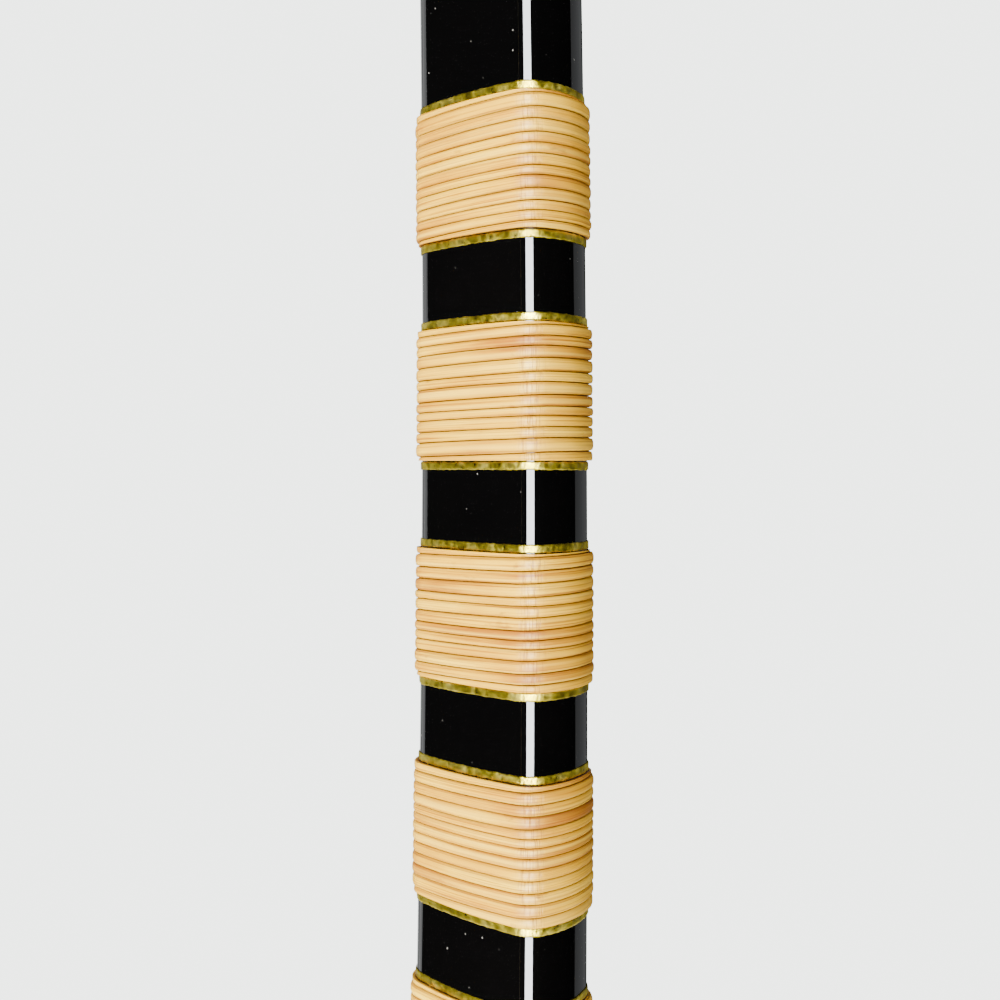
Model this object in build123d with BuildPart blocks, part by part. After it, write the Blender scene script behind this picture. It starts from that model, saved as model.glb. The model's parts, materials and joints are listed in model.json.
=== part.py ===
"""A braced Japanese longbow with a black lacquered bamboo stave bound in bands of split rattan.

Millimetres. +Z runs up the bow, +X from the stave to the string, and the origin is the middle of the grip.
The stave is a lamination: bamboo on the back and the belly, strips of core between them, and side woods.
It is cut into grip, upper limb and lower limb at two hinges, which stand for the bending of the limbs.
"""

import os
from math import cos, radians, sin

from build123d import *

# Overall sizes
UPPER_HEIGHT = 1402.0  # grip middle to upper nock shoulder, along the string
LOWER_HEIGHT = 714.0  # grip middle to lower nock shoulder, along the string
BRACE_HEIGHT = 150.0  # belly of the grip to the string

# Stave section
GRIP_WIDTH = 29.0
GRIP_THICKNESS = 18.0
UPPER_TIP_WIDTH = 19.0
UPPER_TIP_THICKNESS = 11.5
LOWER_TIP_WIDTH = 22.0
LOWER_TIP_THICKNESS = 13.0
CORNER_RADIUS = 3.8
FACE_CAMBER = 0.6
SIDE_CAMBER = 0.7
BAMBOO = 4.3
SIDE_WOOD = 4.6
CORE_STRIPS = 4

# Hinges of the limbs, as lengths along the stave from the grip middle
UPPER_HINGE = 155.0
LOWER_HINGE = 83.0
HINGE_GAP = 0.2

# Grip and arrow rest
GRIP_UP = 56.0
GRIP_DOWN = 58.0
UNDERLAY = 0.6
LEATHER = 1.2
ARROW_REST = 92.0
BELOW_GRIP_BINDING = 14.0

# Rattan bands and the gold strips at their edges
RATTAN = 0.95
REST_RATTAN = 0.8
GLUE_LINE = 0.1
GOLD = 0.15
GOLD_WIDTH = 1.3
UPPER_GROUPS = 4
UPPER_BANDS_IN_GROUP = 9
UPPER_BAND = 23.2
UPPER_GROUP_SPACE = 13.8  # between groups, beyond the gap between bands
UPPER_FIRST_BAND = 9.5  # from the hinge
UPPER_TIP_BARE = 25.3  # from the last band to the shoulder
LOWER_GROUPS = 4
LOWER_BANDS_IN_GROUP = 7
LOWER_BAND = 14.4
LOWER_GROUP_SPACE = 7.4  # between groups, beyond the gap between bands
LOWER_FIRST_BAND = 8.0  # from the hinge
LOWER_TIP_BARE = 40.9  # from the last band to the shoulder

# The stave is straight between stations, which lie midway between bands
GRIP_STATIONS = 7
UPPER_BANDS_PER_STATION = 2
LOWER_BANDS_PER_STATION = 3

# Tips and string
PLATE_BANDS = 2  # bands that bind the tip plate down
SHOULDER_SLANT = 25.0  # degrees, the back higher than the belly
NOCK_LENGTH = 26.0
NOCK_WIDTH = 11.0
NOCK_THICKNESS = 7.5
NOCK_TAPER = 0.75  # of its size at the shoulder
NOCK_ROUND = 2.4
STRING_DIAMETER = 2.0
STRING_CLEARANCE = 0.8
LOOP_DIAMETER = 3.0
LOOP_CLEARANCE = 0.5
KNOT_DIAMETER = 3.3
KNOT_LENGTH = 9.0
KNOT_CLEARANCE = 0.3
NOCKING_HEIGHT = 62.0
SERVING_UP = 30.0
SERVING_DOWN = 75.0
SERVING = 0.35
STRAND_GAP = 0.2

string_radius = STRING_DIAMETER / 2
strand_offset = string_radius + SERVING + STRAND_GAP / 2
string_x = GRIP_THICKNESS / 2 + BRACE_HEIGHT
tip_clearance = string_radius + STRING_CLEARANCE

# Belly to string, as a share of the brace height, at shares of each limb's height
upper_curve = [
    (0.12, 1.04),
    (0.28, 1.12),
    (0.42, 1.13),
    (0.56, 1.03),
    (0.7, 0.78),
    (0.82, 0.45),
    (0.92, 0.16),
    (1, 0),
]
lower_curve = [
    (0.2, 0.975),
    (0.4, 0.86),
    (0.6, 0.62),
    (0.78, 0.31),
    (0.91, 0.085),
    (1, 0),
]


def taper(at_grip, at_tip, share):
    """A size that runs evenly from the grip to a tip."""
    return at_grip + (at_tip - at_grip) * share


def stave_line(curve, height, tip_thickness, side, tip_lean):
    """The stave's centre line from the grip middle to one tip. side is 1 upwards and -1 downwards."""
    points = [(0, 0, 0)]
    for share, opening in curve:
        to_string = tip_clearance + (BRACE_HEIGHT - tip_clearance) * opening
        half_stave = taper(GRIP_THICKNESS, tip_thickness, share) / 2
        points.append((string_x - to_string - half_stave, 0, side * share * height))
    with BuildLine() as line:
        Spline(*points, tangents=[(-0.028 * side, 0, side), (tip_lean, 0, side)])
    return line.edge()


upper_line = stave_line(upper_curve, UPPER_HEIGHT, UPPER_TIP_THICKNESS, 1, 0.03)
lower_line = stave_line(lower_curve, LOWER_HEIGHT, LOWER_TIP_THICKNESS, -1, 0.03)
upper_length = upper_line.length
lower_length = lower_line.length


def plane_at(s):
    """The plane across the stave at length s from the grip middle: x to the belly, z up the stave."""
    line = upper_line if s >= 0 else lower_line
    place = line.position_at(abs(s), position_mode=PositionMode.LENGTH)
    up = line.tangent_at(abs(s), position_mode=PositionMode.LENGTH) * (1 if s >= 0 else -1)
    return Plane(origin=place, x_dir=Vector(0, 1, 0).cross(up), z_dir=up)


def size_at(s):
    """Width and thickness of the stave at length s."""
    if s >= 0:
        share = s / upper_length
        width = taper(GRIP_WIDTH, UPPER_TIP_WIDTH, share)
        return width, taper(GRIP_THICKNESS, UPPER_TIP_THICKNESS, share)
    share = -s / lower_length
    width = taper(GRIP_WIDTH, LOWER_TIP_WIDTH, share)
    return width, taper(GRIP_THICKNESS, LOWER_TIP_THICKNESS, share)


def band_places(first, last, groups, bands, band, group_space):
    """Where each band of a limb starts, spaced to end at last, and the middles of the gaps between."""
    count = groups * bands
    gap = (last - first - count * band - (groups - 1) * group_space) / (count - 1)
    starts, gaps = [], []
    place = first
    for i in range(1, count + 1):
        starts.append(place)
        space = gap + (group_space if i % bands == 0 else 0)
        gaps.append(place + band + space / 2)
        place += band + space
    return starts, gaps[:-1]


def even_stations(start, end, count):
    return [start + (end - start) * i / (count - 1) for i in range(count)]


upper_starts, upper_gaps = band_places(
    first=UPPER_HINGE + UPPER_FIRST_BAND,
    last=upper_length - UPPER_TIP_BARE,
    groups=UPPER_GROUPS,
    bands=UPPER_BANDS_IN_GROUP,
    band=UPPER_BAND,
    group_space=UPPER_GROUP_SPACE,
)
lower_starts, lower_gaps = band_places(
    first=LOWER_HINGE + LOWER_FIRST_BAND,
    last=lower_length - LOWER_TIP_BARE,
    groups=LOWER_GROUPS,
    bands=LOWER_BANDS_IN_GROUP,
    band=LOWER_BAND,
    group_space=LOWER_GROUP_SPACE,
)
upper_plate = upper_gaps[-PLATE_BANDS]
lower_plate = lower_gaps[-PLATE_BANDS]
upper_bends = upper_gaps[UPPER_BANDS_PER_STATION - 1 :: UPPER_BANDS_PER_STATION]
lower_bends = lower_gaps[LOWER_BANDS_PER_STATION - 1 :: LOWER_BANDS_PER_STATION]
upper_inner = [s for s in upper_bends if s < upper_plate]
lower_inner = [s for s in lower_bends if s < lower_plate]
grip_stations = even_stations(-LOWER_HINGE, UPPER_HINGE, GRIP_STATIONS)
upper_stations = [UPPER_HINGE + HINGE_GAP, *upper_inner, upper_plate, upper_length]
lower_stations = [-s for s in (LOWER_HINGE + HINGE_GAP, *lower_inner, lower_plate, lower_length)]
all_stations = sorted([*grip_stations, *upper_stations, *lower_stations])


def chord_plane(s):
    """The plane across the straight run of stave that length s falls in."""
    above = next(station for station in all_stations if station > s)
    below = all_stations[all_stations.index(above) - 1]
    low, high = plane_at(below).origin, plane_at(above).origin
    up = high - low
    place = low + up * ((s - below) / (above - below))
    return Plane(origin=place, x_dir=Vector(0, 1, 0).cross(up), z_dir=up)


def outline(s, grow=0.0):
    """The stave's rounded, slightly bulging section as a face on XY, grown outwards by grow."""
    width, thickness = size_at(s)
    half_x = thickness / 2 - CORNER_RADIUS - FACE_CAMBER
    half_y = width / 2 - CORNER_RADIUS - SIDE_CAMBER
    with BuildSketch() as section:
        with BuildLine():
            ThreePointArc((half_x, -half_y), (half_x + FACE_CAMBER, 0), (half_x, half_y))
            ThreePointArc((half_x, half_y), (0, half_y + SIDE_CAMBER), (-half_x, half_y))
            ThreePointArc((-half_x, half_y), (-half_x - FACE_CAMBER, 0), (-half_x, -half_y))
            ThreePointArc((-half_x, -half_y), (0, -half_y - SIDE_CAMBER), (half_x, -half_y))
        make_face()
        offset(amount=CORNER_RADIUS + grow, kind=Kind.ARC)
    return section.sketch


def strip(stations, low_x, high_x, low_y, high_y):
    """One strip of the lamination through the stations, bounded by functions of width or thickness."""
    with BuildPart() as piece:
        for s in stations:
            width, thickness = size_at(s)
            x0, x1 = low_x(thickness), high_x(thickness)
            y0, y1 = low_y(width), high_y(width)
            with BuildSketch(plane_at(s)):
                add(outline(s))
                with Locations(((x0 + x1) / 2, (y0 + y1) / 2)):
                    Rectangle(x1 - x0, y1 - y0, mode=Mode.INTERSECT)
        loft(ruled=True)
    return piece.part


def save(part, name):
    part.label = name
    export_step(part, f"parts/{name}.step")
    print(name, "solids", len(part.solids()), "volume", round(part.volume, 1))


def joined(pieces):
    """Separate pieces kept together as one compound of solids."""
    return Compound([solid for piece in pieces for solid in piece.solids()])


def past(size):
    """Just outside half of a size, so that the outline bounds the strip there."""
    return size / 2 + 1


def laminations(prefix, stations, tip=None):
    """Back and belly bamboo, two side woods and the core of one length of the stave.

    tip is the cutting plane of the nock shoulder and the side of it to keep. The belly bamboo then
    ends at the tip plate, which fills the last run."""
    belly_stations = stations[:-1] if tip else stations
    pieces = {
        "back_bamboo": strip(
            stations, lambda t: -past(t), lambda t: -t / 2 + BAMBOO, lambda w: -past(w), past
        ),
        "belly_bamboo": strip(
            belly_stations, lambda t: t / 2 - BAMBOO, past, lambda w: -past(w), past
        ),
        "side_wood_left": strip(
            stations,
            lambda t: -t / 2 + BAMBOO,
            lambda t: t / 2 - BAMBOO,
            lambda w: w / 2 - SIDE_WOOD,
            past,
        ),
        "side_wood_right": strip(
            stations,
            lambda t: -t / 2 + BAMBOO,
            lambda t: t / 2 - BAMBOO,
            lambda w: -past(w),
            lambda w: -w / 2 + SIDE_WOOD,
        ),
    }
    core = [
        strip(
            stations,
            lambda t: -t / 2 + BAMBOO,
            lambda t: t / 2 - BAMBOO,
            lambda w, i=i: (w - 2 * SIDE_WOOD) * (i / CORE_STRIPS - 0.5),
            lambda w, i=i: (w - 2 * SIDE_WOOD) * ((i + 1) / CORE_STRIPS - 0.5),
        )
        for i in range(CORE_STRIPS)
    ]
    if tip:
        pieces["tip_plate"] = strip(
            stations[-2:], lambda t: t / 2 - BAMBOO, past, lambda w: -past(w), past
        )
        plane, keep = tip
        pieces = {name: split(piece, bisect_by=plane, keep=keep) for name, piece in pieces.items()}
        core = [split(piece, bisect_by=plane, keep=keep) for piece in core]
    for name, piece in pieces.items():
        save(piece, f"{prefix}_{name}")
    save(joined(core), f"{prefix}_core_strips")


def wrap(start, end, inner_grow, thickness):
    """A covering that follows the stave from start to end, standing inner_grow off it."""
    inner_places = [(s, plane_at(s)) for s in grip_stations if start < s < end]
    places = [(start, chord_plane(start)), *inner_places, (end, chord_plane(end))]
    with BuildPart() as piece:
        for s, plane in places:
            with BuildSketch(plane):
                add(outline(s, inner_grow + thickness))
        loft(ruled=True)
        for s, plane in places:
            with BuildSketch(plane):
                add(outline(s, inner_grow))
        loft(ruled=True, mode=Mode.SUBTRACT)
    return piece.part


def sleeve(s, length, grow, thickness):
    """A short sleeve round the stave, centred on length s and standing grow off it."""
    middle = chord_plane(s)
    with BuildPart() as piece:
        with BuildSketch(middle.offset(-length / 2)):
            add(outline(s, grow + thickness))
            add(outline(s, grow), mode=Mode.SUBTRACT)
        extrude(amount=length)
    return piece.part


def band_sleeve(s, length):
    """A band of rattan as a sleeve with its outer rims broken."""
    middle = chord_plane(s)
    with BuildPart() as piece:
        add(sleeve(s, length, GLUE_LINE, RATTAN))
        ends = piece.faces().sort_by(Axis(middle.origin, middle.z_dir))
        rims = ends[0].outer_wire().edges() + ends[-1].outer_wire().edges()
        chamfer(rims, RATTAN * 0.35)
    return piece.part


def bound_groups(prefix, side, starts, bands, band):
    """Groups of rattan bands, each band with a gold strip at both edges."""
    for group in range(len(starts) // bands):
        rattan, gold = [], []
        for start in starts[group * bands : (group + 1) * bands]:
            rattan.append(band_sleeve(side * (start + band / 2), band - 2 * GOLD_WIDTH - 2 * GLUE_LINE))
            for place in (start + GOLD_WIDTH / 2, start + band - GOLD_WIDTH / 2):
                gold.append(sleeve(side * place, GOLD_WIDTH, GLUE_LINE, GOLD))
        save(joined(rattan), f"{prefix}_rattan_bands_{group + 1}")
        save(joined(gold), f"{prefix}_gold_strips_{group + 1}")


def shoulder_plane(s, side):
    """The slanted shoulder of a nock, its normal pointing out to the tip."""
    flat = plane_at(s)
    out = flat.z_dir * side
    normal = out * cos(radians(SHOULDER_SLANT)) + flat.x_dir * sin(radians(SHOULDER_SLANT))
    return Plane(origin=flat.origin, x_dir=Vector(0, 1, 0).cross(normal), z_dir=normal)


def nock(s, side):
    """The tapered tongue that the string's loop sits round, standing on the slanted shoulder."""
    flat = plane_at(s)
    upright = Plane(origin=flat.origin, x_dir=flat.x_dir, z_dir=flat.z_dir * side)
    end_size = NOCK_THICKNESS * NOCK_TAPER, NOCK_WIDTH * NOCK_TAPER
    with BuildPart() as tongue:
        with BuildSketch(upright.offset(-NOCK_THICKNESS)):
            RectangleRounded(NOCK_THICKNESS, NOCK_WIDTH, NOCK_ROUND)
        with BuildSketch(upright.offset(NOCK_LENGTH)):
            RectangleRounded(*end_size, NOCK_ROUND * NOCK_TAPER)
        loft()
        fillet(tongue.faces().sort_by(Axis(upright.origin, upright.z_dir))[-1].edges(), NOCK_ROUND / 2)
        split(bisect_by=shoulder_plane(s, side), keep=Keep.TOP)
    return tongue.part


def string_loop(s, side):
    """The loop round a nock, lying on its shoulder, with the knot that the string leaves from."""
    shoulder = shoulder_plane(s, side)
    forward = shoulder.x_dir * (1 if shoulder.x_dir.X > 0 else -1)
    middle = shoulder.origin + shoulder.z_dir * (LOOP_DIAMETER / 2 + GLUE_LINE)
    reach = (string_x - middle.X) / forward.X
    nock_radius = max(NOCK_WIDTH, NOCK_THICKNESS / cos(radians(SHOULDER_SLANT))) / 2
    loop_radius = max(reach, nock_radius + LOOP_CLEARANCE + LOOP_DIAMETER / 2)
    centre = middle + forward * (reach - loop_radius)
    knot_top = middle + forward * reach
    with BuildPart() as loop:
        with Locations(Plane(origin=centre, z_dir=shoulder.z_dir)):
            Torus(loop_radius, LOOP_DIAMETER / 2)
        knot = Plane(origin=knot_top, z_dir=(0, 0, -side)).offset(-KNOT_DIAMETER / 2)
        with Locations(knot):
            length = KNOT_LENGTH + KNOT_DIAMETER / 2
            Cylinder(KNOT_DIAMETER / 2, length, align=(Align.CENTER, Align.CENTER, Align.MIN))
    pivot_height = knot_top.Z - side * (KNOT_LENGTH + KNOT_CLEARANCE + string_radius)
    return loop.part, Vector(string_x, 0, pivot_height)


def strand(pivot, side):
    """Half of the string, from its pivot to the nocking point, where the halves lie side by side."""
    start = Vector(pivot.X, 0, pivot.Z)
    end = Vector(string_x, side * strand_offset, NOCKING_HEIGHT)
    along = end - start
    with BuildPart() as half:
        with BuildSketch(Plane(origin=start, z_dir=along)):
            Circle(string_radius)
        extrude(amount=along.length)
        with Locations(start):
            Sphere(string_radius)
    return half.part


def serving(pivot, side, length):
    """The thread wound round half of the string by the nocking point."""
    end = Vector(string_x, side * strand_offset, NOCKING_HEIGHT)
    along = (Vector(pivot.X, 0, pivot.Z) - end).normalized()
    with BuildPart() as wound:
        with BuildSketch(Plane(origin=end, z_dir=along)):
            Circle(string_radius + SERVING)
            Circle(string_radius, mode=Mode.SUBTRACT)
        extrude(amount=length)
    return wound.part


os.makedirs("parts", exist_ok=True)

# The stave in its three lengths
upper_tip = (shoulder_plane(upper_length, 1), Keep.BOTTOM)
lower_tip = (shoulder_plane(-lower_length, -1), Keep.BOTTOM)
laminations("grip", grip_stations)
laminations("upper", upper_stations, upper_tip)
laminations("lower", lower_stations, lower_tip)

# Grip and the bindings above and below it
rest_start = GRIP_UP + GLUE_LINE
rest_end = rest_start + ARROW_REST
below_start = -GRIP_DOWN - GLUE_LINE
below_end = below_start - BELOW_GRIP_BINDING
gold_offset = GLUE_LINE + GOLD_WIDTH / 2
save(wrap(-GRIP_DOWN, GRIP_UP, GLUE_LINE, UNDERLAY), "grip_underlay")
save(wrap(-GRIP_DOWN, GRIP_UP, 2 * GLUE_LINE + UNDERLAY, LEATHER), "grip_leather")
save(wrap(rest_start, rest_end, GLUE_LINE, REST_RATTAN), "arrow_rest_rattan")
save(wrap(below_end, below_start, GLUE_LINE, REST_RATTAN), "below_grip_rattan")
gold_places = rest_end + gold_offset, below_end - gold_offset
grip_gold = [sleeve(s, GOLD_WIDTH, GLUE_LINE, GOLD) for s in gold_places]
save(joined(grip_gold), "grip_gold_strips")

# Rattan bands
bound_groups("upper", 1, upper_starts, UPPER_BANDS_IN_GROUP, UPPER_BAND)
bound_groups("lower", -1, lower_starts, LOWER_BANDS_IN_GROUP, LOWER_BAND)

# Nocks, loops and string
save(nock(upper_length, 1), "upper_nock")
save(nock(-lower_length, -1), "lower_nock")
upper_loop, upper_pivot = string_loop(upper_length, 1)
lower_loop, lower_pivot = string_loop(-lower_length, -1)
save(upper_loop, "upper_string_loop")
save(lower_loop, "lower_string_loop")
save(strand(upper_pivot, 1), "upper_string_half")
save(strand(lower_pivot, -1), "lower_string_half")
save(serving(upper_pivot, 1, SERVING_UP), "upper_serving")
save(serving(lower_pivot, -1, SERVING_DOWN), "lower_serving")

print("stave length", round(upper_length + lower_length + 2 * NOCK_LENGTH, 1))
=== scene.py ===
"""A black lacquered longbow bound in split rattan, seen close at its upper limb.

Metres, in the frame of the CAD model: +Z up the bow, +X to the string, the origin in the
middle of the grip.
"""

import json
from math import cos, pi, radians, sin

import bpy
import numpy as np
from mathutils import Matrix, Vector


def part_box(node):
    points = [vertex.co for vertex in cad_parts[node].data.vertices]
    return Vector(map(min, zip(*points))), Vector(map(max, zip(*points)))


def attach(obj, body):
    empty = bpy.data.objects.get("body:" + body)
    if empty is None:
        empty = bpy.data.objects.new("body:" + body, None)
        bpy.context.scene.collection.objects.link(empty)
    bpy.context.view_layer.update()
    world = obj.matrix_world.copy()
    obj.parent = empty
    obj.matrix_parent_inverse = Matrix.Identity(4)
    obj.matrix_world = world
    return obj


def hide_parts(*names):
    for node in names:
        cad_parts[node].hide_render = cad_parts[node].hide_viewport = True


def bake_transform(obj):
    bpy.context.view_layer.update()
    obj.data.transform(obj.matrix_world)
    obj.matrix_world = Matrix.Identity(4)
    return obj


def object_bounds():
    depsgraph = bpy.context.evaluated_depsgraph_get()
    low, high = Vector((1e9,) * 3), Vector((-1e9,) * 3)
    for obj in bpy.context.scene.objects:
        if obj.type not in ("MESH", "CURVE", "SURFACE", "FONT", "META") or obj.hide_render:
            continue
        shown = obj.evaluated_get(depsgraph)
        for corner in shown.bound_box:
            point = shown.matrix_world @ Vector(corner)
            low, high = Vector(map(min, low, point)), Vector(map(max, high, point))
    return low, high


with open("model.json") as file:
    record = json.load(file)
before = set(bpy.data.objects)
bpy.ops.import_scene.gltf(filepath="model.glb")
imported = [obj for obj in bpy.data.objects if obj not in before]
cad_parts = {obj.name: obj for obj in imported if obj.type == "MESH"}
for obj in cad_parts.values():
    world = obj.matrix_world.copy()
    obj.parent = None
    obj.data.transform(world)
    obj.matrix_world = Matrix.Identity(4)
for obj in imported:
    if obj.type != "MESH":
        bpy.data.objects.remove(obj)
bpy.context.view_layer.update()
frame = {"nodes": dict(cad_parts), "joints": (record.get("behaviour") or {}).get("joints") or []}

# ---------------------------------------------------------------- The lacquered stave
# Bamboo and wood bent in one long fair curve, which everything wound on it follows. Many coats of
# black lacquer are polished to a mirror, a little uneven and with a few specks of dust.

NOCK_LENGTH = 0.026
SLEEVE_GAP = 0.0015
TIP_NARROWER = 0.0002
TIP_THINNER = 0.0001
PAST_TIP = 0.03
# How far each CAD sleeve stands off the stave.
STAND = {
    "rattan_bands": 0.00105, "grip_leather": 0.002, "rest_rattan": 0.0009, "grip_rattan": 0.0009
}


def rims(node):
    """Both ends of each sleeve in a CAD node as (middle, width, thickness), from the lowest up."""
    points = np.array([v.co for v in frame["nodes"][node].data.vertices])
    points = points[np.argsort(points[:, 2])]
    breaks = np.nonzero(np.diff(points[:, 2]) > SLEEVE_GAP)[0] + 1
    stand = next(size for part, size in STAND.items() if part in node)
    found = []
    for ring in np.split(points, breaks):
        front, back = ring[np.argmax(ring[:, 0])], ring[np.argmin(ring[:, 0])]
        width = np.ptp(ring[:, 1]) - 2 * stand
        thickness = np.linalg.norm((front - back)[[0, 2]]) - 2 * stand
        found.append(((front + back) / 2, width, thickness))
    return found


def sleeves(node):
    """Each sleeve of a CAD node as (middle, width, thickness, length)."""
    ends = rims(node)
    return [
        ((a[0] + b[0]) / 2, (a[1] + b[1]) / 2, (a[2] + b[2]) / 2, np.linalg.norm(b[0] - a[0]))
        for a, b in zip(ends[0::2], ends[1::2])
    ]


def tip(node, side):
    """The middle of a nock's shoulder."""
    low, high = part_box(node)
    end = high.z - NOCK_LENGTH if side > 0 else low.z + NOCK_LENGTH
    return np.array([(low.x + high.x) / 2, 0, end])


bands = {name: sleeves(name) for name in frame["nodes"] if "rattan_bands" in name}
grip_ends = rims("grip_leather")
marks = [sleeve[:3] for name in bands for sleeve in bands[name]]
marks += [grip_ends[0], grip_ends[-1]]
marks += [sleeve[:3] for sleeve in sleeves("below_grip_rattan")]
marks.sort(key=lambda mark: mark[0][2])
marks.insert(0, (tip("lower_nock", -1), marks[0][1] - TIP_NARROWER, marks[0][2] - TIP_THINNER))
marks.append((tip("upper_nock", 1), marks[-1][1] - TIP_NARROWER, marks[-1][2] - TIP_THINNER))
knots = np.array([mark[0] for mark in marks])[:, [0, 2]]
steps = np.linalg.norm(np.diff(knots, axis=0), axis=1)
lengths = np.concatenate([[0], np.cumsum(steps)])
lengths -= np.interp(0, knots[:, 1], lengths)
slopes = np.gradient(knots, lengths, axis=0)
LOWER_END, UPPER_END = lengths[0], lengths[-1]


def size_at(s):
    """Width and thickness of the bare stave at length s from the grip's middle."""
    return (
        np.interp(s, lengths, [mark[1] for mark in marks]),
        np.interp(s, lengths, [mark[2] for mark in marks]),
    )


def line_at(s):
    """The stave's middle and its direction at length s, as (x, z, direction x, direction z)."""
    s = np.clip(s, LOWER_END - PAST_TIP, UPPER_END + PAST_TIP)
    i = np.clip(np.searchsorted(lengths, s) - 1, 0, len(lengths) - 2)
    step = lengths[i + 1] - lengths[i]
    t = (s - lengths[i]) / step
    h = step[:, None]
    t = t[:, None]
    a, b, da, db = knots[i], knots[i + 1], slopes[i] * h, slopes[i + 1] * h
    place = a * (2 * t**3 - 3 * t**2 + 1) + b * (3 * t**2 - 2 * t**3)
    place += da * (t**3 - 2 * t**2 + t) + db * (t**3 - t**2)
    slope = (a - b) * (6 * t**2 - 6 * t) + da * (3 * t**2 - 4 * t + 1) + db * (3 * t**2 - 2 * t)
    slope /= np.linalg.norm(slope, axis=1)[:, None]
    return place[:, 0], place[:, 1], slope[:, 0], slope[:, 1]


# The section is a rounded rectangle whose four sides bulge a little.
CORNER = 0.0038
FACE_CAMBER = 0.0006
SIDE_CAMBER = 0.0007
FACE_TILT = 0.14
SIDE_TILT = 0.3


def section_table():
    """Steps once round the section, each with the corner centre's place across x and y as shares,
    the angle of the normal, the bulge of the face and of the side, and nearness to a corner."""
    rows = []
    # Stretches between two angles of the normal, on a face (f), a side (s) or a corner (c).
    stretches = [
        (-FACE_TILT, FACE_TILT, "f", 1),
        (FACE_TILT, pi / 2 - SIDE_TILT, "c", 1),
        (pi / 2 - SIDE_TILT, pi / 2 + SIDE_TILT, "s", 1),
        (pi / 2 + SIDE_TILT, pi - FACE_TILT, "c", -1),
        (pi - FACE_TILT, pi + FACE_TILT, "f", -1),
        (pi + FACE_TILT, 1.5 * pi - SIDE_TILT, "c", -1),
        (1.5 * pi - SIDE_TILT, 1.5 * pi + SIDE_TILT, "s", -1),
        (1.5 * pi + SIDE_TILT, 2 * pi - FACE_TILT, "c", 1),
    ]
    share = {"f": 26, "s": 10, "c": 14}
    for start, end, kind, sign in stretches:
        for k in range(share[kind]):
            q = k / share[kind]
            angle = start + (end - start) * q
            across = 2 * q - 1
            if kind == "f":
                rows.append((sign, across * sign, angle, 1 - across**2, 0, 0))
            elif kind == "s":
                rows.append((-across * sign, sign, angle, 0, 1 - across**2, 0))
            else:
                rows.append((sign, 1 if angle < pi else -1, angle, 0, 0, 1 - abs(across)))
    return np.array(rows)


ROUND = section_table()
ROUND_STEPS = len(ROUND)


def section(u, s, stand):
    """Points at share u round the section at length s, standing out by stand.

    They come as x, y and how near they are to the middle of a corner."""
    width, thickness = size_at(s)
    half_x = thickness / 2 - CORNER - FACE_CAMBER
    half_y = width / 2 - CORNER - SIDE_CAMBER
    turn = np.mod(u, 1) * ROUND_STEPS
    low = turn.astype(int) % ROUND_STEPS
    high = (low + 1) % ROUND_STEPS
    part = turn - np.floor(turn)

    def place(rows):
        reach = CORNER + stand
        x = rows[:, 0] * half_x + np.sign(np.cos(rows[:, 2])) * rows[:, 3] * FACE_CAMBER
        y = rows[:, 1] * half_y + np.sign(np.sin(rows[:, 2])) * rows[:, 4] * SIDE_CAMBER
        return x + np.cos(rows[:, 2]) * reach, y + np.sin(rows[:, 2]) * reach

    (x0, y0), (x1, y1) = place(ROUND[low]), place(ROUND[high])
    corner = ROUND[low, 5] * (1 - part) + ROUND[high, 5] * part
    return x0 + (x1 - x0) * part, y0 + (y1 - y0) * part, corner


def on_stave(x, y, s):
    """Points x and y off the line at length s, in the row frame."""
    place_x, place_z, up_x, up_z = line_at(s)
    return np.stack([place_x + x * up_z, y, place_z - x * up_x], axis=1)


def sheet(name, across, along):
    """A flat grid that is then rolled up, with its places across and along it from 0 to 1."""
    bpy.ops.object.select_all(action="DESELECT")
    bpy.ops.mesh.primitive_grid_add(x_subdivisions=across, y_subdivisions=along, size=1)
    made = bpy.context.object
    made.name = name
    flat = np.empty(len(made.data.vertices) * 3, np.float32)
    made.data.vertices.foreach_get("co", flat)
    flat = flat.reshape(-1, 3).astype(float) + 0.5
    return made, flat[:, 0], flat[:, 1]


def write_attribute(made, name, values):
    """Gives each point of a piece its own value, for the finish to read."""
    attribute = made.data.attributes.new(name, "FLOAT", "POINT")
    attribute.data.foreach_set("value", values.astype(np.float32))


SEAM = 0.000002


def shape(made, points, uv=None, corner=None):
    """Puts a rolled sheet's points in place, closes its seam and leaves it smooth."""
    made.data.vertices.foreach_set("co", np.asarray(points, np.float32).ravel())
    if uv is not None:
        loops = np.empty(len(made.data.loops), np.int32)
        made.data.loops.foreach_get("vertex_index", loops)
        made.data.uv_layers[0].data.foreach_set("uv", np.asarray(uv, np.float32)[loops].ravel())
    if corner is not None:
        write_attribute(made, "corner", corner)
    bpy.ops.object.mode_set(mode="EDIT")
    bpy.ops.mesh.select_all(action="SELECT")
    bpy.ops.mesh.remove_doubles(threshold=SEAM)
    bpy.ops.mesh.normals_make_consistent(inside=False)
    bpy.ops.object.mode_set(mode="OBJECT")
    bpy.ops.object.shade_smooth()
    return made


class Value:
    """A socket of a finish, where arithmetic adds Math nodes."""

    def __init__(self, finish, socket):
        self.finish = finish
        self.socket = socket

    def math(self, operation, *others):
        values = dict(enumerate((self, *others)))
        return self.finish.node("ShaderNodeMath", {"operation": operation}, values)

    def __add__(self, other):
        return self.math("ADD", other)

    def __sub__(self, other):
        return self.math("SUBTRACT", other)

    def __mul__(self, other):
        return self.math("MULTIPLY", other)

    __radd__ = __add__
    __rmul__ = __mul__


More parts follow.
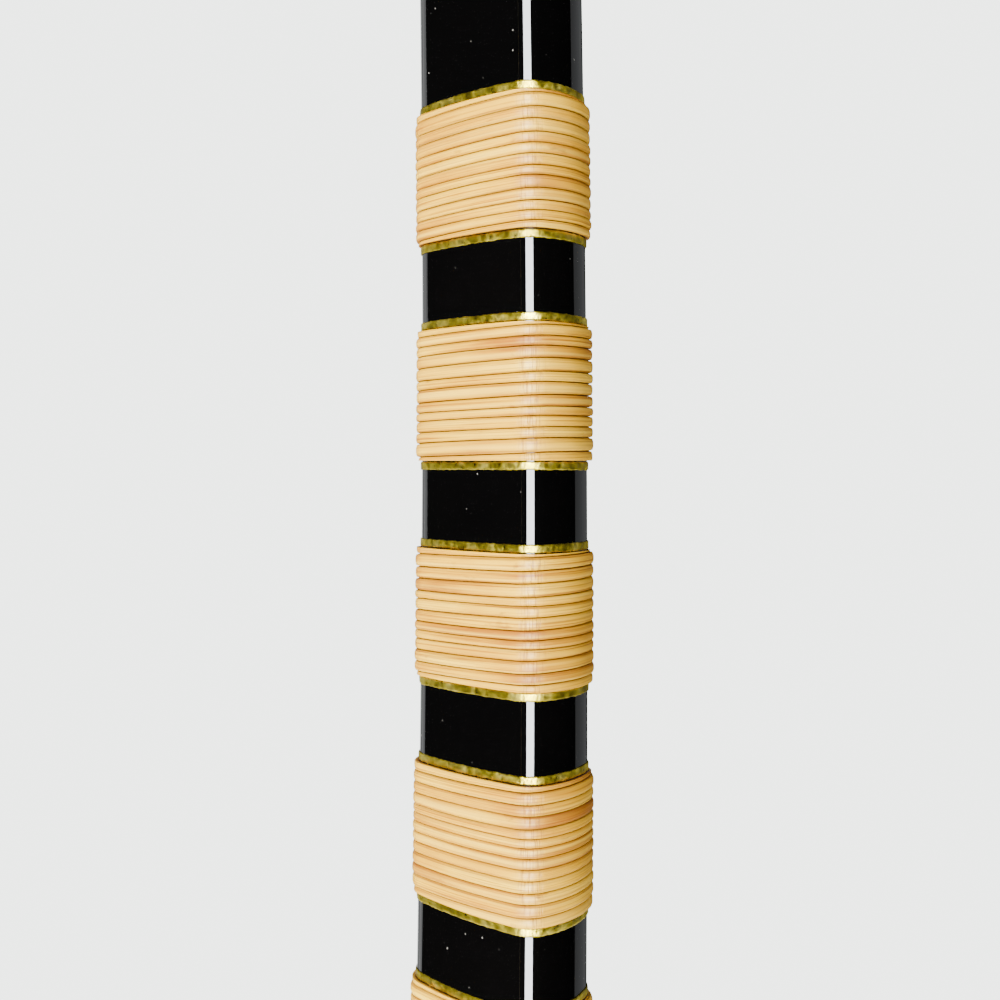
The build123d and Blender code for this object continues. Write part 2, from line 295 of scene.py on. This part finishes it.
class Finish:
    """A material of this bow, built on one Principled shader."""

    def __init__(self, name, **fixed):
        self.material = bpy.data.materials.new(name)
        self.material.use_nodes = True
        self.tree = self.material.node_tree
        self.shader = self.tree.nodes["Principled BSDF"]
        for socket, value in fixed.items():
            self.shader.inputs[socket.replace("_", " ")].default_value = value

    def node(self, kind, settings, values, out=0):
        made = self.tree.nodes.new(kind)
        for key, value in settings.items():
            if key == "stops":
                self.stops(made.color_ramp, value)
            else:
                setattr(made, key, value)
        for key, value in values.items():
            if isinstance(value, Value):
                self.tree.links.new(value.socket, made.inputs[key])
            else:
                made.inputs[key].default_value = value
        return Value(self, made.outputs[out])

    def stops(self, ramp, stops):
        while len(ramp.elements) < len(stops):
            ramp.elements.new(1)
        for element, (place, colour) in zip(ramp.elements, stops):
            element.position = place
            colour = colour if isinstance(colour, tuple) else (colour,) * 3
            element.color = (*colour, 1)

    def ramp(self, value, *stops):
        return self.node("ShaderNodeValToRGB", {"stops": stops}, {"Fac": value})

    def mix(self, factor, a, b, blend="MIX"):
        a, b = ((*c, 1) if isinstance(c, tuple) else c for c in (a, b))
        settings = {"data_type": "RGBA", "blend_type": blend}
        return self.node("ShaderNodeMix", settings, {0: factor, 6: a, 7: b}, out=2)

    def where(self, source="Object", scale=(1, 1, 1)):
        place = self.node("ShaderNodeTexCoord", {}, {}, out=source)
        return self.node("ShaderNodeMapping", {}, {"Vector": place, "Scale": scale})

    def noise(self, place, scale, detail=3, rough=0.5):
        values = {"Vector": place, "Scale": scale, "Detail": detail, "Roughness": rough}
        return self.node("ShaderNodeTexNoise", {}, values)

    def attribute(self, name):
        return self.node("ShaderNodeAttribute", {"attribute_name": name}, {}, out="Fac")

    def bump(self, height, depth, strength=1.0):
        values = {"Height": height, "Distance": depth, "Strength": strength}
        self.feed("Normal", self.node("ShaderNodeBump", {}, values))

    def feed(self, socket, value):
        self.tree.links.new(value.socket, self.shader.inputs[socket])


def dress(piece, finish):
    piece.data.materials.clear()
    piece.data.materials.append(finish.material)


SKIN_ROUND = 128
SKIN_STEP = 0.0035
CUT = -0.001
BEYOND = 0.012
SHOULDER_SLANT = radians(25)
SHARP = radians(40)
BENT_SHARE = 0.8

lacquer = Finish("black_lacquer", Metallic=0.0, IOR=1.6, Coat_Weight=1.0, Coat_Roughness=0.01)
place = lacquer.where()
dust = lacquer.ramp(lacquer.noise(place, 1300, 1), (0.0, 0.0), (0.80, 0.0), (0.815, 1.0))
wear = lacquer.noise(place, 26, 3)
black = lacquer.mix(wear, (0.0006, 0.0006, 0.0007), (0.0016, 0.0015, 0.0015))
lacquer.feed("Base Color", lacquer.mix(dust * 0.35, black, (0.5, 0.49, 0.46)))
lacquer.feed("Roughness", wear * 0.03 + dust * 0.3 + 0.012)
waves = lacquer.noise(lacquer.where(scale=(1, 1, 0.45)), 85, 1)
lacquer.bump(waves * 0.8 + lacquer.noise(place, 2600, 0) * 0.01, 0.00016)


def stave_skin(name, start, end, shoulder_s):
    """The lacquered surface of the stave between two lengths, rolled from one sheet."""
    rows = int(abs(end - start) / SKIN_STEP)
    made, u, v = sheet(name, SKIN_ROUND, rows)
    s = start + (end - start) * v
    x, y, corner = section(u, s, np.zeros_like(s))
    shape(made, on_stave(x, y, s), corner=corner)
    # The hidden cut is closed flat, and the shoulder is cut on a slant, higher on the back.
    bpy.ops.object.mode_set(mode="EDIT")
    bpy.ops.mesh.select_all(action="DESELECT")
    bpy.ops.mesh.select_non_manifold()
    bpy.ops.mesh.fill_holes(sides=0)
    bpy.ops.mesh.select_all(action="SELECT")
    side = 1 if end > start else -1
    shoulder = on_stave(np.zeros(1), np.zeros(1), np.array([shoulder_s]))[0]
    _, _, up_x, up_z = (float(value[0]) for value in line_at(np.array([shoulder_s])))
    along, across = side * cos(SHOULDER_SLANT), sin(SHOULDER_SLANT)
    out = Vector((up_x * along + up_z * across, 0, up_z * along - up_x * across))
    bpy.ops.mesh.bisect(plane_co=shoulder, plane_no=out, use_fill=True, clear_outer=True)
    bpy.ops.mesh.select_all(action="SELECT")
    bpy.ops.mesh.normals_make_consistent(inside=False)
    bpy.ops.object.mode_set(mode="OBJECT")
    bpy.ops.object.shade_smooth_by_angle(angle=SHARP)
    dress(made, lacquer)
    return made


def bends_with(piece, side):
    """Bakes a piece's place into its points; it finds its limb's hinge but does not bend the piece.
    """
    limb = "upper_limb" if side > 0 else "lower_limb"
    hinge = next(joint for joint in frame["joints"] if joint["child"] == limb)
    end = Vector((0, 0, (UPPER_END if side > 0 else LOWER_END) * BENT_SHARE))
    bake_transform(piece)


upper_skin = stave_skin("upper_stave", CUT, UPPER_END + BEYOND, UPPER_END)
lower_skin = stave_skin("lower_stave", CUT, LOWER_END - BEYOND, LOWER_END)
stave_nodes = ("back_bamboo", "belly_bamboo", "side_wood_left", "side_wood_right", "core_strips")
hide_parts(*(f"upper_{part}" for part in (*stave_nodes, "tip_plate")))
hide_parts(*(f"grip_{part}" for part in stave_nodes))
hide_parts(*(f"lower_{part}" for part in (*stave_nodes, "tip_plate")))
bends_with(upper_skin, 1)
bends_with(lower_skin, -1)

# ---------------------------------------------------------------- The rattan bands
# Each band is one strand of split rattan wound tight, its flat underside on the lacquer and its
# skin outwards. The strands differ in width, and the first and last turns are pared to a point.

TURN_STEPS = 80
STRAND_ROUND = 8
STRAND = 0.00162
RATTAN = 0.00095
UNDER = 0.00004
WIDTH_SPREAD = 0.17
WIDEST = 1.7
FILLED = 0.985
PARED_TURNS = 1.3
LUMP_DEPTH = 0.08
LUMPS_PER_TURN = 1.7
START_TURN = 0.62
TURN_LENGTH = 0.0765
STRAND_GIRTH = 0.0045
rng = np.random.default_rng(7)

rattan = Finish("rattan", Metallic=0.0, IOR=1.5, Specular_IOR_Level=0.36)
fibre = rattan.noise(rattan.where("UV", (30, 3400, 1)), 1, 4, 0.65)
long_fibre = rattan.noise(rattan.where("UV", (14, 900, 1)), 1, 2)
patch = rattan.noise(rattan.where("UV", (34, 90, 1)), 1, 3, 0.6)
stain = rattan.noise(rattan.where("UV", (120, 260, 1)), 1, 4, 0.7)
crack = rattan.noise(rattan.where("UV", (3800, 210, 1)), 1, 2)
top = rattan.attribute("top")
corner = rattan.attribute("corner")
straw = rattan.ramp(
    patch,
    (0.34, (0.42, 0.16, 0.004)),
    (0.44, (0.66, 0.32, 0.006)),
    (0.56, (0.80, 0.44, 0.010)),
    (0.68, (0.93, 0.58, 0.03)),
)
dark_line = rattan.ramp(fibre, (0.36, 1.0), (0.52, 0.0))
pale_line = rattan.ramp(long_fibre, (0.5, 0.0), (0.66, 1.0))
spot = rattan.ramp(stain, (0.62, 0.0), (0.72, 1.0))
split = rattan.ramp(crack, (0.54, 0.0), (0.62, 1.0)) * rattan.ramp(corner, (0.1, 0.0), (0.6, 1.0))
straw = rattan.mix(dark_line * 0.85, straw, (0.27, 0.075, 0.003))
straw = rattan.mix(pale_line * 0.6, straw, (0.96, 0.62, 0.06))
straw = rattan.mix(spot * 0.6, straw, (0.2, 0.06, 0.012))
straw = rattan.mix(split * 0.55, straw, (0.26, 0.09, 0.01))
# Painted shade: the base colour darkens the low sides of each strand and the grooves between turns,
# following the strand's height; the same mask also makes them rougher.
groove_shade_mask = rattan.ramp(top, (0.3, 1.0), (0.97, 0.0))
rattan.feed("Base Color", rattan.mix(groove_shade_mask * 0.85, straw, (0.12, 0.032, 0.004)))
rattan.feed("Roughness", rattan.ramp(patch, (0.3, 0.42), (0.7, 0.26)) + groove_shade_mask * 0.3)
rattan.bump(fibre * 0.5 + long_fibre * 0.4 - split * 0.6, 0.00007, 0.8)


def strand_profile(v):
    """The closed outline of a strand at share v round it, as its place across from -1 to 1 and
    its height."""
    across = [-0.9, -1.0, -0.84, -0.36, 0.36, 0.84, 1.0, 0.9, -0.9]
    height = [0.0, 0.3, 0.84, 1.0, 1.0, 0.84, 0.3, 0.0, 0.0]
    step, corners = v * STRAND_ROUND, range(STRAND_ROUND + 1)
    return np.interp(step, corners, across), np.interp(step, corners, height)


def wound_band(name, low, high, pitch, thickness):
    """One strand wound from length low to length high of the stave."""
    turns = max(2, round((high - low) / pitch)) + 1
    made, t, v = sheet(name, int(turns * TURN_STEPS), STRAND_ROUND)
    turn = t * turns
    # Widths differ from turn to turn, and each turn lies against the one before.
    spread = rng.standard_normal(turns).clip(-WIDEST, WIDEST)
    steps = np.cumsum(np.concatenate([[0], 1 + WIDTH_SPREAD * spread]))
    steps = np.concatenate([[-1], steps / steps[-1] * turns, [turns + 1]])
    real_pitch = (high - low) / (turns - 1)
    first_edge = low + (np.interp(turn - 0.5, range(-1, turns + 2), steps) - 0.5) * real_pitch
    last_edge = low + (np.interp(turn + 0.5, range(-1, turns + 2), steps) - 0.5) * real_pitch
    across, height = strand_profile(v)
    middle = (first_edge + last_edge) / 2
    half = (last_edge - first_edge) / 2
    s = np.clip(middle + across * half * FILLED, low, high)
    # Where the winding starts and ends, the strand is pared away to the band's edge.
    from_edge = np.minimum(last_edge - low, high - first_edge)
    pared = np.clip(from_edge / (PARED_TURNS * real_pitch), 0.0, 1)
    lump = np.sin(turn * 2 * pi * LUMPS_PER_TURN + rng.uniform(0, 6))
    lumpy = 1 - LUMP_DEPTH * (0.5 + 0.5 * lump)
    closing = np.clip(np.minimum(t, 1 - t) * turns * 8, 0, 1)
    stand = UNDER + height * thickness * pared**0.35 * lumpy * closing
    x, y, on_corner = section(turn + START_TURN, s, stand)
    along = turn * TURN_LENGTH + rng.uniform(0, 50)
    uv = np.stack([along, v * STRAND_GIRTH + rng.uniform(0, 5)], axis=1)
    write_attribute(made, "top", height)
    shape(made, on_stave(x, y, s), uv, on_corner)
    return made


def joined(name, pieces):
    """Like pieces made one."""
    bpy.ops.object.select_all(action="DESELECT")
    for piece in pieces:
        piece.select_set(True)
    bpy.context.view_layer.objects.active = pieces[0]
    bpy.ops.object.join()
    pieces[0].name = name
    return pieces[0]


def length_of(middle):
    """The length along the stave at which a point on its line lies."""
    return float(np.interp(middle[2], knots[:, 1], lengths))


placed = {}
for name, found in bands.items():
    side = 1 if name.startswith("upper") else -1
    windings = []
    for k, (middle, _, _, length) in enumerate(found):
        s = length_of(middle)
        windings.append(wound_band(f"{name}_{k}", s - length / 2, s + length / 2, STRAND, RATTAN))
        placed[name, k] = (s, length)
    group = joined(name.replace("rattan_bands", "rattan_windings"), windings)
    dress(group, rattan)
    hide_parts(name)
    bends_with(group, side)

# ---------------------------------------------------------------- The gold edges
# A strip of gold leaf on paper lies at both edges of each band, crinkled where it is drawn round
# the corners. It is a little ragged at its edges, and the leaf is worn through in pinholes.

GOLD_WIDTH = 0.0013
GOLD_GAP = 0.0001
GOLD_ROUND = 200
GOLD_STEPS = 8
GOLD_RISE = 0.0002
GOLD_WANDER = 0.00003

gold = Finish("gold_leaf", Metallic=1.0)
leaf = gold.where()
crinkle = gold.noise(leaf, 1100, 3, 0.6)
tone = gold.noise(leaf, 380, 2)
shade = gold.ramp(
    tone, (0.34, (0.40, 0.31, 0.02)), (0.5, (0.72, 0.57, 0.04)), (0.66, (1.0, 0.82, 0.12))
)
worn = gold.ramp(gold.noise(leaf, 1900, 2), (0.66, 0.0), (0.72, 1.0))
gold.feed("Base Color", gold.mix(worn * 0.6, shade, (0.14, 0.10, 0.01)))
gold.feed("Roughness", gold.ramp(crinkle, (0.3, 0.26), (0.7, 0.5)))
gold.bump(crinkle, 0.00018, 0.8)


def gold_ring(name, middle, width):
    """A flat crinkled ring round the stave at length middle."""
    made, u, v = sheet(name, GOLD_ROUND, GOLD_STEPS)
    step, corners = v * GOLD_STEPS, range(GOLD_STEPS + 1)
    across = np.interp(step, corners, [-0.9, -1, -0.66, -0.22, 0.22, 0.66, 1, 0.9, -0.9])
    rise = np.interp(step, corners, [0, 0.55, 1, 0.9, 1, 0.95, 0.55, 0, 0])
    phase = rng.uniform(0, 6)
    turn = np.mod(np.round(u * GOLD_ROUND), GOLD_ROUND).astype(int)
    folds = rng.uniform(0.55, 1.0, (GOLD_ROUND, GOLD_STEPS + 1))
    fold = folds[turn, np.mod(np.round(step), GOLD_STEPS).astype(int)]
    ragged = rng.uniform(0.86, 1.04, (GOLD_ROUND, 2))[turn, (across > 0).astype(int)]
    s = middle + across * width / 2 * ragged + GOLD_WANDER * np.sin(u * 4 * pi + phase)
    x, y, on_corner = section(u, s, UNDER + rise * fold * GOLD_RISE)
    return shape(made, on_stave(x, y, s), corner=on_corner)


for name, found in bands.items():
    side = 1 if name.startswith("upper") else -1
    rings = []
    for k in range(len(found)):
        s, length = placed[name, k]
        for end in (-1, 1):
            middle = s + end * (length / 2 + GOLD_GAP + GOLD_WIDTH / 2)
            rings.append(gold_ring(f"gold_{name}_{k}_{end + 1}", middle, GOLD_WIDTH))
    group = joined(name.replace("rattan_bands", "gold_edges"), rings)
    dress(group, gold)
    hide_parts(name.replace("rattan_bands", "gold_strips"))
    bends_with(group, side)

# ---------------------------------------------------------------- The bindings by the grip
# A finer strand of rattan is wound close above the grip, where the arrow slides, and a short one
# below it. A gold strip closes the far edge of each.

FINE_STRAND = 0.0016
FINE_RATTAN = 0.0008


def stretch(node):
    """The lengths along the stave between which a sleeve lies."""
    ends = [length_of(end[0]) for end in rims(node)]
    return min(ends), max(ends)


for node, piece in (("arrow_rest_rattan", "arrow_rest"), ("below_grip_rattan", "lower_binding")):
    low, high = stretch(node)
    winding = wound_band(piece, low, high, FINE_STRAND, FINE_RATTAN)
    dress(winding, rattan)
    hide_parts(node)
    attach(winding, "grip")

rest_low, rest_high = stretch("arrow_rest_rattan")
below_low, below_high = stretch("below_grip_rattan")
edge = GOLD_GAP + GOLD_WIDTH / 2
grip_gold = joined("grip_gold_edges", [
    gold_ring("gold_rest", rest_high + edge, GOLD_WIDTH),
    gold_ring("gold_below", below_low - edge, GOLD_WIDTH),
])
dress(grip_gold, gold)
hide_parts("grip_gold_strips")
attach(grip_gold, "grip")

# ---------------------------------------------------------------- The grip
# One strip of smoked deerskin is wound upwards over a padding of paper, each turn lapping the last.
# The laps show as slanting steps, and handling has darkened and polished their edges.

LAPS = 6
LEATHER = 0.0019
LAP_STEP = 0.0005
LEATHER_RIM = 0.0012
RIPPLE = 0.00008
WRAP_ROUND = 120
WRAP_ROWS = 260

leather = Finish("grip_leather", Metallic=0.0, IOR=1.45)
hide = leather.where()
grain = leather.node("ShaderNodeTexVoronoi", {}, {"Vector": hide, "Scale": 1500})
mottle = leather.noise(hide, 130, 4, 0.6)
lap = leather.attribute("lap")
brown = leather.ramp(
    mottle, (0.3, (0.085, 0.032, 0.013)), (0.55, (0.17, 0.07, 0.03)), (0.75, (0.26, 0.125, 0.06))
)
soiled = leather.ramp(lap, (0.0, 1.0), (0.12, 0.0)) * 0.75
leather.feed("Base Color", leather.mix(soiled, brown, (0.03, 0.011, 0.005)))
leather.feed("Roughness", mottle * 0.25 + 0.5)
leather.bump(grain * 0.6 + mottle * 0.6, 0.0001, 0.7)

low, high = stretch("grip_leather")
wrap, u, v = sheet("grip_wrap", WRAP_ROUND, WRAP_ROWS)
s = low + (high - low) * v
lap_share = np.mod((s - low) / (high - low) * LAPS - u, 1)
rim = np.clip(np.minimum(v, 1 - v) * (high - low) / LEATHER_RIM, 0, 1) ** 0.5
stand = (LEATHER - LAP_STEP * lap_share + RIPPLE * np.sin(u * 14 + s * 300)) * rim
stand[(v == 0) | (v == 1)] = 0
x, y, on_corner = section(u, s, stand)
write_attribute(wrap, "lap", lap_share)
shape(wrap, on_stave(x, y, s), corner=on_corner)
dress(wrap, leather)
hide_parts("grip_leather", "grip_underlay")
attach(wrap, "grip")

# ---------------------------------------------------------------- The nocks
# The tongues at the tips are carved from the tip plates and lacquered with the stave.

for side in ("upper", "lower"):
    dress(frame["nodes"][f"{side}_nock"], lacquer)

# ---------------------------------------------------------------- The string
# Three yarns of hemp are twisted hard and rubbed with resin, and a finer thread is served round
# the string where the arrow sits. It runs in two halves that meet at the nocking point.

STRING = 0.001
SERVED = 0.00135
LAY = 0.009
SERVE_PITCH = 0.0009
STRING_ROUND = 24
STRING_STEP = 0.0011
SERVE_ROUND = 20
SERVE_STEPS = 6
DENT = 0.16
RIDGE = 0.07


def cord_points(start, end, radius, lobes, turn, u, v):
    """Points on a straight twisted cord from start to end, rounded at both ends."""
    along = end - start
    length = np.linalg.norm(along)
    z = along / length
    x = np.cross([0, 1, 0], z)
    x /= np.linalg.norm(x)
    y = np.cross(z, x)
    angle = u * 2 * pi
    dent = np.abs(np.sin((angle * lobes - v * length * turn * 2 * pi) / 2)) ** 3
    r = radius * (1 - DENT * dent * (lobes > 0))
    ends = np.clip(np.minimum(v, 1 - v) * length / radius, 0, 1)
    r = r * np.sqrt(1 - (1 - ends) ** 2)
    points = start + np.outer(v, along)
    points += np.outer(r * np.cos(angle), x)
    points += np.outer(r * np.sin(angle), y)
    return points


hemp = Finish("string", Metallic=0.0)
yarn = hemp.noise(hemp.where(scale=(1, 1, 0.25)), 4200, 3)
tan = hemp.ramp(
    yarn, (0.3, (0.28, 0.2, 0.1)), (0.55, (0.52, 0.41, 0.23)), (0.75, (0.68, 0.57, 0.36))
)
hemp.feed("Base Color", tan)
hemp.feed("Roughness", yarn * 0.25 + 0.55)
hemp.bump(yarn, 0.00006)

thread = Finish("serving", Metallic=0.0)
fluff = thread.noise(thread.where(), 5200, 3)
thread.feed("Base Color", thread.ramp(fluff, (0.3, (0.2, 0.13, 0.06)), (0.7, (0.42, 0.31, 0.17))))
thread.feed("Roughness", fluff * 0.2 + 0.6)
thread.bump(fluff, 0.00006)

for name in ("upper", "lower"):
    low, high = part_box(f"{name}_string_half")
    at_x = (low.x + high.x) / 2
    if name == "upper":
        start, end = (at_x, 0, high.z), (at_x, high.y - STRING, low.z)
    else:
        start, end = (at_x, 0, low.z), (at_x, low.y + STRING, high.z)
    start, end = np.array(start), np.array(end)
    length = high.z - low.z
    half, u, v = sheet(f"{name}_string", STRING_ROUND, int(length / STRING_STEP))
    shape(half, cord_points(start, end, STRING, 3, 1 / LAY, u, v))
    dress(half, hemp)
    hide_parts(f"{name}_string_half")
    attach(half, f"string_{name}")

    low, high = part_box(f"{name}_serving")
    served = high.z - low.z
    top_end = start + (end - start) * (1 - served / length)
    wound, u, v = sheet(f"{name}_served", SERVE_ROUND, int(served / SERVE_PITCH * SERVE_STEPS))
    points = cord_points(top_end, end, SERVED, 0, 0, u, v)
    ridge = 1 - RIDGE + RIDGE * np.abs(np.sin(pi * (v * served / SERVE_PITCH + u)))
    middle = top_end + np.outer(v, end - top_end)
    shape(wound, middle + (points - middle) * ridge[:, None])
    dress(wound, thread)
    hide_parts(f"{name}_serving")
    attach(wound, f"string_{name}")

# ---------------------------------------------------------------- The string's loops
# Each end of the string is tied in a loop and bound with cloth, red at the top and white at the
# bottom.

RED = (0.16, 0.008, 0.008), (0.42, 0.03, 0.025)
WHITE = (0.4, 0.37, 0.3), (0.75, 0.72, 0.64)
for name, (dark, light) in (("upper", RED), ("lower", WHITE)):
    cloth = Finish(f"{name}_loop_cloth", Metallic=0.0)
    weave = cloth.noise(cloth.where(), 2600, 3)
    cloth.feed("Base Color", cloth.ramp(weave, (0.35, dark), (0.65, light)))
    cloth.feed("Roughness", weave * 0.2 + 0.7)
    cloth.bump(weave, 0.00012)
    dress(frame["nodes"][f"{name}_string_loop"], cloth)

# ---------------------------------------------------------------- Studio
# A pale seamless background, tall soft lights, and a camera close to the first group of bands.

LENS = 41.6
SENSOR = 36.0
VIEW_TURN = radians(41)
DISTANCE = 0.178
SHIFT_DOWN = -0.038
STEP_LEFT = 0.0005
AIM_BAND = 7
AIM_UP = 0.0012
NEAR_CLIP = 0.01
below = bands["upper_rattan_bands_1"][AIM_BAND]
hero_s = np.array([length_of(below[0]) - below[3] / 2 - GOLD_WIDTH - GOLD_GAP + AIM_UP])
aim = Vector(on_stave(np.zeros(1), np.zeros(1), hero_s)[0])
_, _, up_x, up_z = (float(value[0]) for value in line_at(hero_s))
up = Vector((up_x, 0, up_z))
belly = Vector((up_z, 0, -up_x))
toward = belly * cos(VIEW_TURN) + Vector((0, 1, 0)) * sin(VIEW_TURN)
right = up.cross(toward)

camera = bpy.data.cameras.new("camera")
camera.lens = LENS
camera.sensor_width = SENSOR
camera.clip_start = NEAR_CLIP
camera.shift_y = SHIFT_DOWN
holder = bpy.data.objects.new("camera", camera)
bpy.context.scene.collection.objects.link(holder)
holder.location = aim + toward * DISTANCE - right * STEP_LEFT
holder.rotation_mode = "QUATERNION"
holder.rotation_quaternion = Matrix((right, up, toward)).transposed().to_quaternion()
bpy.context.scene.camera = holder

FLOOR_SIZE = 3
FLOOR_X = 0.07
FLOOR_BELOW = 0.002
low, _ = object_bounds()
bpy.ops.object.select_all(action="DESELECT")
bpy.ops.mesh.primitive_plane_add(size=FLOOR_SIZE, location=(FLOOR_X, 0, low[2] - FLOOR_BELOW))
floor = bpy.context.object
floor.name = "floor"
ground = Finish("floor", Metallic=0.0)
haze = ground.noise(ground.where(), 3, 2)
ground.feed("Base Color", ground.ramp(haze, (0.3, (0.78, 0.785, 0.78)), (0.7, (0.82, 0.825, 0.82))))
ground.feed("Roughness", haze * 0.1 + 0.8)
dress(floor, ground)

PANEL_HEIGHT = 2.6
PANEL_RISE = 0.35


def panel(name, turn, distance, width, power, colour, mirrored=True, lighting=True):
    """A tall soft light, turned round the bow from the camera's side: to the left below zero."""
    light = bpy.data.lights.new(name, "AREA")
    light.shape = "RECTANGLE"
    light.size = width
    light.size_y = PANEL_HEIGHT
    light.energy = power
    light.color = colour
    lamp = bpy.data.objects.new(name, light)
    bpy.context.scene.collection.objects.link(lamp)
    direction = toward * cos(turn) + right * sin(turn)
    lamp.location = direction * distance + Vector((0, 0, PANEL_RISE))
    lamp.rotation_mode = "QUATERNION"
    lamp.rotation_quaternion = direction.to_track_quat("Z", "Y")
    lamp.visible_glossy = mirrored
    lamp.visible_diffuse = lighting


panel("key", radians(-34), 1.3, 0.62, 132, (1.0, 0.985, 0.93), mirrored=False)
panel("glint", radians(-4), 1.3, 0.75, 190, (0.93, 0.96, 1.0), lighting=False)
panel("fill", radians(46), 2.0, 0.8, 34, (1.0, 0.97, 0.92), mirrored=False)
panel("rim_left", radians(-118), 1.6, 0.8, 5, (0.97, 0.99, 1.0), lighting=False)
panel("back_left", radians(-152), 2.0, 1.0, 6, (0.97, 0.99, 1.0))
panel("back_right", radians(128), 2.0, 1.2, 1.8, (0.95, 0.98, 1.0))
panel("back_wash", radians(180), 2.4, 1.0, 60, (1.0, 0.99, 0.97), mirrored=False)

ROOM = (0.005, 0.0052, 0.0054, 1)
BACKDROP = (3.7, 3.85, 3.72, 1)
world = bpy.data.worlds.new("studio")
world.use_nodes = True
bpy.context.scene.world = world
tree = world.node_tree
path = tree.nodes.new("ShaderNodeLightPath")
mix = tree.nodes.new("ShaderNodeMix")
mix.data_type = "RGBA"
mix.inputs[6].default_value = ROOM
mix.inputs[7].default_value = BACKDROP
tree.links.new(path.outputs["Is Camera Ray"], mix.inputs[0])
tree.links.new(mix.outputs[2], tree.nodes["Background"].inputs["Color"])
